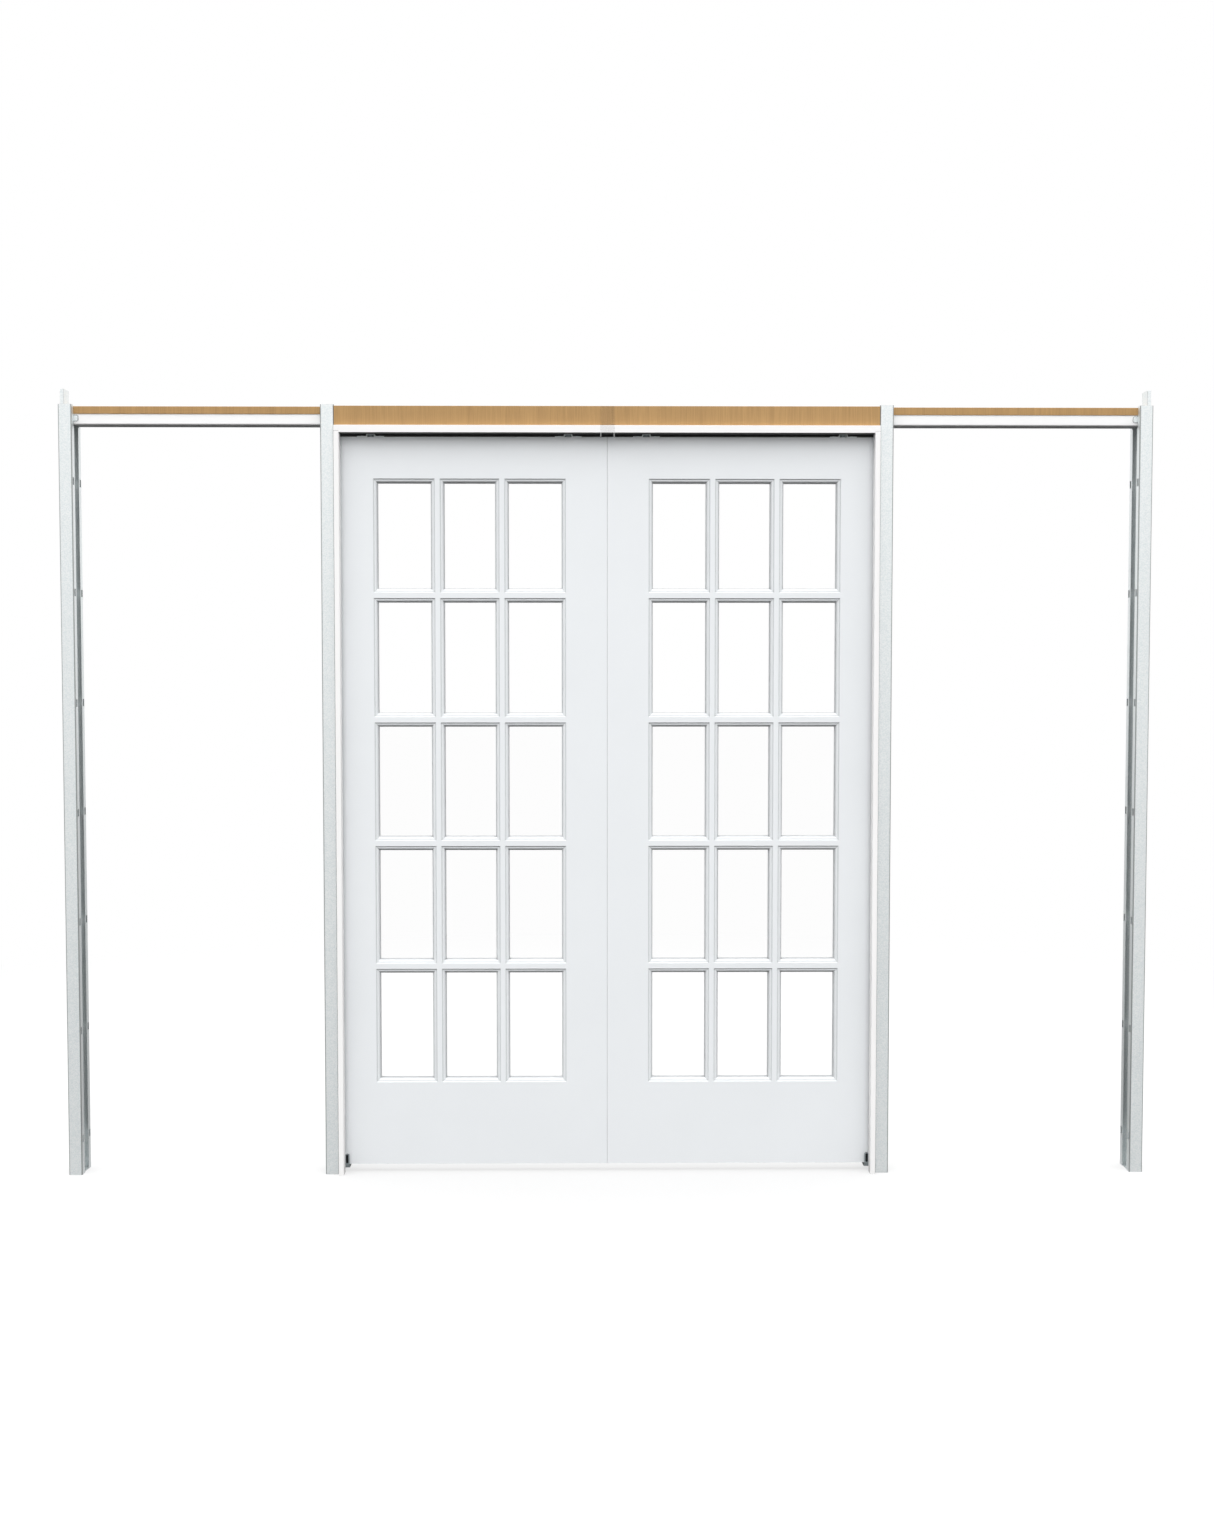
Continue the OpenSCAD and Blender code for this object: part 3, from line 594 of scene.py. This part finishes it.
@dataclass(frozen=True)
class ClearSheet(Finish):
    """Thin clear sheet, faintly milky, with a fine speckle and denser legs under a given height."""

    milk: float
    clear: float
    leg: float
    cover: float
    leg_cover: float
    leg_top: float
    dull: float = 0.3
    speckle: float = 500.0
    tones: Range = (0.3, 0.7)

    def shader(self, graph: Graph) -> Socket:
        """Builds the shader of the clear sheet.

        Args:
            graph: Node tree to build in.

        Returns:
            Socket of the shader.
        """
        place = graph.place()
        grains = graph.noise(place, self.speckle, detail=2.0, rough=0.6)
        upper = graph.math("GREATER_THAN", graph.parts(place)["Z"], self.leg_top)
        speckled = graph.span(graph.share(grains, *self.tones), self.milk, self.clear)
        sheet = graph.math("MULTIPLY", upper, speckled)
        return graph.principled(
            Base_Color=graph.math("ADD", sheet, graph.span(upper, self.leg, 0.0)),
            Roughness=self.dull,
            Alpha=graph.span(upper, self.leg_cover, self.cover),
        )


@dataclass(frozen=True)
class Moulded(Finish):
    """Moulded nylon or rubber: dark, with a fine matt grain."""

    light: Colour
    dark: Colour
    smooth: float
    dull: float
    gloss: float = 0.25
    speckle: float = 700.0
    tones: Range = (0.3, 0.7)
    relief_depth: float = 0.0001
    relief: float = 0.2

    def shader(self, graph: Graph) -> Socket:
        """Builds the shader of moulded nylon or rubber."""
        grains = graph.noise(graph.place(), self.speckle, detail=3.0, rough=0.6)
        return graph.principled(
            Base_Color=graph.ramp(grains, self.tones, self.dark, self.light),
            Roughness=graph.span(grains, self.smooth, self.dull),
            Normal=graph.bump(grains, self.relief_depth, self.relief),
            Specular_IOR_Level=self.gloss,
        )


# Sheet with painted shade on its bends, cut edges and inner faces and in its inner corners.
GALVANISED = ZincSheet(
    name="galvanised_steel",
    light=(0.96, 0.985, 0.985),
    dark=(0.82, 0.875, 0.885),
    metal=0.7,
    smooth=0.36,
    dull=0.52,
    fold_shade=0.45,
    edges=0.7,
    inner_face_shade=0.75,
    corner=0.02,
)
FINISHES: tuple[Finish, ...] = (
    GALVANISED,
    # Brackets with dark painted shade along their cut edges up to the track's top.
    replace(
        GALVANISED,
        name="bracket_steel",
        fold_shade=0.85,
        edges=0.12,
        edge_width=0.006,
        edge_top=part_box("track")[1].z,
    ),
    BarePine(
        name="pine",
        pale=(0.52, 0.309, 0.12),
        warm=(0.44, 0.258, 0.095),
        deep=(0.36, 0.205, 0.072),
        smooth=0.5,
        dull=0.68,
    ),
    # Primer with dark painted shade on the faces that look down or towards the middle of the wall.
    SatinPaint(
        name="primed_jamb",
        light=(0.93, 0.922, 0.92),
        dark=(0.90, 0.892, 0.89),
        smooth=0.62,
        dull=0.74,
        sheen=0.1,
        hidden_shade=0.12,
        edge=0.9,
    ),
    # Door paint with painted shade on the faces that look down or towards the middle of the wall, on sideways
    # edges and in inner corners.
    SatinPaint(
        name="painted_door",
        light=(0.83, 0.853, 0.872),
        dark=(0.81, 0.833, 0.852),
        smooth=0.36,
        dull=0.46,
        sheen=0.3,
        hidden_shade=0.55,
        edge=0.86,
        corner=0.008,
        flow=0.002,
        flow_depth=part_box("left_outer_stile")[1].y - FACE_MARGIN,
    ),
    ClearGlass(name="clear_glass", tint=WHITE),
    # Track paint with painted shade on the faces that look down or towards the middle of the wall.
    SatinPaint(
        name="white_aluminium",
        light=(0.95, 0.95, 0.95),
        dark=(0.93, 0.93, 0.93),
        smooth=0.42,
        dull=0.5,
        sheen=0.25,
        hidden_shade=0.4,
    ),
    ZincSheet(
        name="zinc_hardware",
        light=(0.40, 0.45, 0.47),
        dark=(0.28, 0.32, 0.34),
        metal=0.85,
        smooth=0.3,
        dull=0.48,
    ),
    Moulded(
        name="wheel_nylon",
        light=(0.075, 0.075, 0.078),
        dark=(0.05, 0.05, 0.052),
        smooth=0.4,
        dull=0.55,
    ),
    Moulded(
        name="black_nylon",
        light=(0.012, 0.012, 0.013),
        dark=(0.006, 0.006, 0.007),
        smooth=0.4,
        dull=0.55,
        gloss=0.12,
    ),
    Moulded(
        name="black_rubber",
        light=(0.035, 0.035, 0.035),
        dark=(0.022, 0.022, 0.022),
        smooth=0.65,
        dull=0.8,
    ),
    ClearSheet(
        name="clear_plastic",
        milk=0.04,
        clear=0.12,
        leg=0.36,
        cover=0.05,
        leg_cover=0.9,
        leg_top=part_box("front_head_jamb")[0].z - LEG_MARGIN,
    ),
)
# Nodes that wear another finish than their slot in the record names.
OWN_FINISH: dict[str, str] = {
    "left_end_bracket": "bracket_steel",
    "right_end_bracket": "bracket_steel",
    "left_floor_guide": "zinc_hardware",
    "right_floor_guide": "zinc_hardware",
}


@dataclass
class Palette:
    """Every finish of the part as a material, by the finish's name."""

    materials: dict[str, bpy.types.Material] = field(default_factory=dict)

    def mix(self) -> None:
        """Makes all the materials."""
        for finish in FINISHES:
            self.materials[finish.name] = finish.material()
            LOG.info("finish %s", finish.name)

    def dress(self, piece: bpy.types.Object, finish: str) -> None:
        """Puts a finish on a piece.

        Args:
            piece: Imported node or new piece.
            finish: Name of the finish.
        """
        if not piece.material_slots:
            piece.data.materials.append(None)
        for holder in piece.material_slots:
            holder.material = self.materials[finish]


@dataclass
class PackedPieces:
    """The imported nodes, which keep their shapes and get their finishes."""

    palette: Palette

    def dress(self) -> None:
        """Puts on every node its own finish, or else the finish of its slot in the record."""
        for row in frame["record"]["subparts"]:
            node = row["node"]
            finish = OWN_FINISH.get(node, row["material_slot"])
            self.palette.dress(frame["nodes"][node], finish)
            LOG.info("node %s in %s", node, finish)


def pick(pieces: list[bpy.types.Object]) -> None:
    """Selects some pieces alone and makes the first one active.

    Args:
        pieces: Pieces to select.
    """
    bpy.ops.object.select_all(action="DESELECT")
    for piece in pieces:
        piece.select_set(True)
    bpy.context.view_layer.objects.active = pieces[0]


def cylinder(
    sides: int, radius: float, low: float, high: float, turn: float = 0.0
) -> bpy.types.Object:
    """Adds an upright cylinder or prism about the Z axis.

    Args:
        sides: Number of its sides.
        radius: Distance of its corners from its axis.
        low: Height of its underside.
        high: Height of its top.
        turn: Angle about its axis.

    Returns:
        The cylinder.
    """
    bpy.ops.object.select_all(action="DESELECT")
    bpy.ops.mesh.primitive_cylinder_add(
        vertices=sides,
        radius=radius,
        depth=high - low,
        location=(0, 0, (low + high) / 2),
        rotation=(0, 0, turn),
    )
    bpy.ops.object.transform_apply(location=True, rotation=True)
    return bpy.context.object


def choose_faces(piece: bpy.types.Object, normal: Vector, level: float) -> None:
    """Selects the faces of a piece in edit mode that look one way at or past a level.

    Args:
        piece: Piece that is being modelled.
        normal: Way that the faces look.
        level: Least distance of their centres along that way.
    """
    bpy.ops.mesh.select_all(action="DESELECT")
    bpy.ops.object.mode_set(mode="OBJECT")
    for face in piece.data.polygons:
        alike = face.normal.dot(normal) > FACING_COSINE
        face.select = alike and face.center.dot(normal) >= level
    bpy.ops.object.mode_set(mode="EDIT")
    bpy.ops.mesh.select_mode(type="FACE")


def cut_with(piece: bpy.types.Object, tool: bpy.types.Object, way: Cut) -> None:
    """Changes a piece by a tool shape and removes the tool.

    Args:
        piece: Piece to change.
        tool: Closed shape.
        way: Way that the tool changes it.
    """
    pick([piece])
    cut = piece.modifiers.new("cut", "BOOLEAN")
    cut.operation = way.value
    cut.object = tool
    bpy.ops.object.modifier_apply(modifier=cut.name)
    bpy.data.objects.remove(tool)


def copy_to(first: bpy.types.Object, spots: list[Vector], name: str) -> bpy.types.Object:
    """Copies a piece to every spot, joins the copies and removes the first.

    Args:
        first: Piece modelled about the origin.
        spots: Places of the copies.
        name: Name of the joined piece.

    Returns:
        The joined piece.
    """
    copies = []
    for spot in spots:
        copy = first.copy()
        copy.data = first.data.copy()
        copy.location = spot
        bpy.context.scene.collection.objects.link(copy)
        copies.append(copy)
    bpy.data.objects.remove(first)
    pick(copies)
    bpy.ops.object.transform_apply(location=True)
    bpy.ops.object.join()
    copies[0].name = name
    return copies[0]


@dataclass
class DoorHardware:
    """Small steel pieces on the hangers of one door."""

    side: Side
    palette: Palette
    plate_t: float = 0.0025

    def hangers(self) -> list[float]:
        """Finds where the door's two hangers are, midway between the axles of their trolleys.

        Returns:
            Places along X.
        """
        start = f"{self.side.value}_wheels"
        joints = [joint for joint in frame["joints"] if joint["child"].startswith(start)]
        axles = sorted(joint["pos_m"][0] for joint in joints)
        return [(axles[0] + axles[1]) / 2, (axles[2] + axles[3]) / 2]

    def hang(self, piece: bpy.types.Object) -> None:
        """Dresses a piece and lets it ride on the door.

        Args:
            piece: Finished piece.
        """
        self.palette.dress(piece, "zinc_hardware")
        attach(piece, f"{self.side.value}_door")


@dataclass
class HangerBolts(DoorHardware):
    """Threaded bolts and chamfered lock nuts that hang a door, in place of the plain ones."""

    shank_r: float = 0.004
    bore_r: float = 0.0041
    pitch: float = 0.00125
    thread_d: float = 0.0007
    rings_a_turn: int = 6
    shank_sides: int = 24
    sink: float = 0.0005
    cone_share: float = 1.02
    flat_share: float = 0.84
    chamfer_slope: float = math.tan(math.radians(30))

    def hexagon(
        self, low: float, high: float, corner: float, ends: tuple[int, ...]
    ) -> bpy.types.Object:
        """Models a hexagon with corners cut off by a cone.

        Args:
            low: Height of its underside.
            high: Height of its top.
            corner: Distance of its corners from its axis.
            ends: Ends with a cone, -1 for the underside and 1 for the top.

        Returns:
            The hexagon.
        """
        piece = cylinder(HEXAGON_SIDES, corner, low, high, HEXAGON_TURN)
        inset = corner * (self.cone_share - self.flat_share)
        drop = inset * self.chamfer_slope
        bottom = low + drop * (-1 in ends)
        top = high - drop * (1 in ends)
        cone = cylinder(ROUND_SIDES, corner * self.cone_share, bottom, top)
        bpy.ops.object.mode_set(mode="EDIT")
        for end in ends:
            choose_faces(cone, Vector((0, 0, end)), min(end * top, end * bottom))
            bpy.ops.mesh.inset(thickness=inset)
            bpy.ops.transform.translate(value=(0, 0, end * drop))
        bpy.ops.object.mode_set(mode="OBJECT")
        cut_with(piece, cone, Cut.KEEP_COMMON)
        return piece

    def rod(self, low: float, high: float) -> bpy.types.Object:
        """Models a threaded rod.

        Args:
            low: Height of its lower end.
            high: Height of its upper end.

        Returns:
            The rod.
        """
        rod = cylinder(self.shank_sides, self.shank_r, low, high)
        bpy.ops.object.mode_set(mode="EDIT")
        bpy.ops.mesh.select_all(action="DESELECT")
        bpy.ops.object.mode_set(mode="OBJECT")
        corners = rod.data.vertices
        for edge in rod.data.edges:
            a, b = (corners[index].co.z for index in edge.vertices)
            edge.select = abs(a - b) > self.pitch
        bpy.ops.object.mode_set(mode="EDIT")
        bpy.ops.mesh.select_mode(type="EDGE")
        bpy.ops.mesh.subdivide(number_cuts=round((high - low) / self.pitch * self.rings_a_turn))
        bpy.ops.object.mode_set(mode="OBJECT")
        for vertex in rod.data.vertices:
            turn = math.atan2(vertex.co.y, vertex.co.x) - math.tau * vertex.co.z / self.pitch
            share = 1 - self.thread_d / self.shank_r * (1 - math.cos(turn)) / 2
            vertex.co.x *= share
            vertex.co.y *= share
        return rod

    def finished(self, piece: bpy.types.Object, node: str, name: str) -> None:
        """Sets a piece at both hangers, dresses it and lets it stand for its node.

        Args:
            piece: Piece modelled about the upright axis.
            node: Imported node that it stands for.
            name: Name of the piece.
        """
        pick([piece])
        bpy.ops.object.shade_smooth_by_angle(angle=SMOOTH_ANGLE)
        pair = copy_to(piece, [Vector((x, 0.0, 0.0)) for x in self.hangers()], name)
        self.hang(pair)
        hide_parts(node)
        LOG.info("piece %s for %s", name, node)

    def build(self) -> None:
        """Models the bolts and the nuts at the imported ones' places and sizes."""
        word = self.side.value
        bolt_low, bolt_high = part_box(f"{word}_hanger_bolts")
        nut_low, nut_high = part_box(f"{word}_lock_nuts")
        corner = (nut_high.y - nut_low.y) / 2 / math.cos(HEXAGON_TURN)
        seat = nut_low.z - self.plate_t
        bolt = self.hexagon(bolt_low.z, seat, corner, (-1,))
        cut_with(bolt, self.rod(seat - self.sink, bolt_high.z), Cut.JOIN)
        self.finished(bolt, f"{word}_hanger_bolts", f"{word}_threaded_bolts")
        nut = self.hexagon(nut_low.z, nut_high.z, corner, (-1, 1))
        past = (nut_high.z - nut_low.z) / 2
        bore = cylinder(ROUND_SIDES, self.bore_r, nut_low.z - past, nut_high.z + past)
        cut_with(nut, bore, Cut.TAKE_AWAY)
        self.finished(nut, f"{word}_lock_nuts", f"{word}_hex_nuts")


@dataclass
class PlateScrews(DoorHardware):
    """Cross-head screws that hold a door's hanger plates."""

    head_r: float = 0.0042
    head_h: float = 0.0024
    head_sides: int = 32
    shank_r: float = 0.0022
    shank_l: float = 0.0024
    recess_l: float = 0.0042
    recess_w: float = 0.0010
    recess_d: float = 0.0013
    hole_share: float = 0.662
    crown_inset: float = 0.0005
    crown_rise: float = 0.00005
    edge_round: float = 0.0004
    edge_steps: int = 2
    slack_share: float = 0.1

    def spots(self) -> list[Vector]:
        """Finds the screws' places: two on each plate, beside its bridge.

        Returns:
            Places of the heads' undersides.
        """
        hangers = self.hangers()
        low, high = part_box(f"{self.side.value}_hanger_plates")
        reach = (high.x - low.x - (hangers[1] - hangers[0])) / 2
        out = reach * self.hole_share
        top = low.z + self.plate_t
        return [Vector((hanger + turn * out, 0.0, top)) for hanger in hangers for turn in (-1, 1)]

    def head(self) -> bpy.types.Object:
        """Models one screw with its head's underside at the origin.

        Returns:
            The screw.
        """
        screw = cylinder(self.head_sides, self.head_r, 0.0, self.head_h)
        slack = self.head_h * self.slack_share
        bpy.ops.object.mode_set(mode="EDIT")
        choose_faces(screw, Vector((0, 0, 1)), self.head_h - slack)
        bpy.ops.mesh.inset(thickness=self.crown_inset)
        bpy.ops.transform.translate(value=(0, 0, self.crown_rise))
        choose_faces(screw, Vector((0, 0, -1)), -slack)
        bpy.ops.mesh.inset(thickness=self.head_r - self.shank_r)
        bpy.ops.mesh.extrude_region_move(TRANSFORM_OT_translate={"value": (0, 0, -self.shank_l)})
        bpy.ops.object.mode_set(mode="OBJECT")
        for turn in (0, math.pi / 2):
            self.cut_recess(screw, turn)
        rounding = screw.modifiers.new("rounding", "BEVEL")
        rounding.width = self.edge_round
        rounding.segments = self.edge_steps
        rounding.limit_method = "ANGLE"
        bpy.ops.object.modifier_apply(modifier=rounding.name)
        bpy.ops.object.shade_smooth_by_angle(angle=SMOOTH_ANGLE)
        return screw

    def cut_recess(self, screw: bpy.types.Object, turn: float) -> None:
        """Cuts one slot of the cross into a screw's head.

        Args:
            screw: Screw to cut.
            turn: Angle of the slot about the screw's axis.
        """
        bpy.ops.object.select_all(action="DESELECT")
        bpy.ops.mesh.primitive_cube_add(size=1, location=(0, 0, self.head_h), rotation=(0, 0, turn))
        tool = bpy.context.object
        tool.scale = (self.recess_l, self.recess_w, 2 * self.recess_d)
        bpy.ops.object.transform_apply(location=True, rotation=True, scale=True)
        cut_with(screw, tool, Cut.TAKE_AWAY)

    def build(self) -> None:
        """Models one screw, copies it to every place and joins the copies."""
        screws = copy_to(self.head(), self.spots(), f"{self.side.value}_plate_screws")
        self.hang(screws)
        LOG.info("piece %s", screws.name)


@dataclass
class Studio:
    """Pale floor, soft light and the camera."""

    white: float = 1.0
    floor_half: float = 40.0
    floor_tone: float = 0.05
    floor_mirror: float = 0.45
    floor_glow: float = 0.62
    floor_shade: float = 0.26
    shadow_near: float = 1.9
    shadow_far: float = 4.5
    sky_low: float = 1.15
    sky_high: float = 1.9
    sky_front: float = 1.35
    sky_rear: float = 0.86
    key_place: Place = (0.0, -5.5, 5.5)
    key_aim: Place = (0.0, 0.0, 1.0)
    key_size: tuple[float, float] = (6.0, 3.0)
    key_power: float = 22.0
    camera_place: Place = (-0.0548, -5.0077, 1.4123)
    camera_yaw: float = 0.620
    camera_pitch: float = 2.857
    camera_level: float = 90.0
    focal_px: float = 1791.5
    image_high_px: float = 1518.0
    sensor: float = 36.0

    def seen_directly(self, graph: Graph) -> Socket:
        """Tells what is looked at from what only gets light.

        Args:
            graph: Node tree to build in.

        Returns:
            Socket that is 1 on rays from the camera, a mirror or glass, and 0 on others.
        """
        path = graph.add("ShaderNodeLightPath").outputs
        seen = graph.math("MAXIMUM", path["Is Camera Ray"], path["Is Glossy Ray"])
        return graph.math("MAXIMUM", seen, path["Is Transmission Ray"])

    def seen_in_mirror(self, graph: Graph) -> Socket:
        """Tells what is seen in a shiny surface.

        Args:
            graph: Node tree to build in.

        Returns:
            Socket that is 1 on rays from a mirror that don't come through glass, and 0 on others.
        """
        path = graph.add("ShaderNodeLightPath").outputs
        shine = graph.math("SUBTRACT", path["Is Glossy Ray"], path["Is Transmission Ray"])
        return graph.math("MAXIMUM", shine, 0.0)

    def distance(self, graph: Graph) -> Socket:
        """Measures how far a place on the floor is from the object.

        Args:
            graph: Node tree to build in.

        Returns:
            Socket that is 0 where the object's shadow lies and 1 well away from it.
        """
        length = graph.vector_math("LENGTH", graph.place()).outputs["Value"]
        node = graph.add(
            "ShaderNodeMapRange",
            Value=length,
            From_Min=self.shadow_near,
            From_Max=self.shadow_far,
        )
        node.interpolation_type = "SMOOTHSTEP"
        return node.outputs["Result"]

    def floor(self) -> None:
        """Lays a pale floor that keeps the object's shadow."""
        bpy.ops.object.select_all(action="DESELECT")
        bpy.ops.mesh.primitive_plane_add(size=2 * self.floor_half)
        floor = bpy.context.object
        floor.name = "floor"
        material = bpy.data.materials.new("pale_floor")
        material.use_nodes = True
        graph = Graph(material.node_tree)
        near = graph.both(graph.glow(self.floor_glow), graph.matt(self.floor_shade))
        seen = graph.either(self.distance(graph), near, graph.glow(self.white))
        mirrored = graph.glow(self.floor_mirror)
        seen = graph.either(self.seen_in_mirror(graph), seen, mirrored)
        plain = graph.matt(self.floor_tone)
        graph.surface(graph.either(self.seen_directly(graph), plain, seen))
        floor.data.materials.append(material)
        LOG.info("floor")

    def backdrop(self) -> None:
        """Makes the surroundings white to the eye and a softer light."""
        world = bpy.data.worlds.new("white_surroundings")
        bpy.context.scene.world = world
        world.use_nodes = True
        graph = Graph(world.node_tree)
        way = graph.parts(graph.add("ShaderNodeTexCoord").outputs["Generated"])
        rise = graph.span(way["Z"], self.sky_low, self.sky_high)
        depth = graph.span(graph.share(way["Y"], -1.0, 1.0), self.sky_front, self.sky_rear)
        light = graph.sky(graph.math("MULTIPLY", rise, depth))
        shown = graph.either(self.seen_directly(graph), light, graph.sky(self.white))
        graph.add("ShaderNodeOutputWorld", Surface=shown)
        LOG.info("surroundings")

    def lamps(self) -> None:
        """Hangs one large soft lamp in front of the doors, over the camera."""
        data = bpy.data.lights.new("key", "AREA")
        data.shape = "RECTANGLE"
        data.size, data.size_y = self.key_size
        data.energy = self.key_power
        lamp = bpy.data.objects.new("key", data)
        bpy.context.scene.collection.objects.link(lamp)
        lamp.location = self.key_place
        way = Vector(self.key_aim) - Vector(self.key_place)
        lamp.rotation_euler = way.to_track_quat("-Z", "Y").to_euler()
        lamp.visible_camera = False
        LOG.info("lamp %s", lamp.name)

    def camera(self) -> None:
        """Sets up the camera at the photograph's viewing angle."""
        data = bpy.data.cameras.new("camera")
        data.sensor_width = self.sensor
        data.lens = self.focal_px * self.sensor / self.image_high_px
        camera = bpy.data.objects.new("camera", data)
        bpy.context.scene.collection.objects.link(camera)
        camera.location = self.camera_place
        camera.rotation_euler = (
            math.radians(self.camera_level - self.camera_pitch),
            0.0,
            math.radians(-self.camera_yaw),
        )
        bpy.context.scene.camera = camera
        LOG.info("camera with a %.2f mm lens", data.lens)

    def build(self) -> None:
        """Sets up everything around the object."""
        bpy.context.scene.view_settings.view_transform = "Standard"
        self.camera()
        self.floor()
        self.backdrop()
        self.lamps()


def main() -> None:
    """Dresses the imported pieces, adds the fasteners and sets up the studio."""
    logging.basicConfig(level=logging.INFO, format="%(name)s: %(message)s")
    Studio().build()
    palette = Palette()
    palette.mix()
    PackedPieces(palette).dress()
    for side in Side:
        HangerBolts(side, palette).build()
        PlateScrews(side, palette).build()


if __name__ == "__main__":
    main()
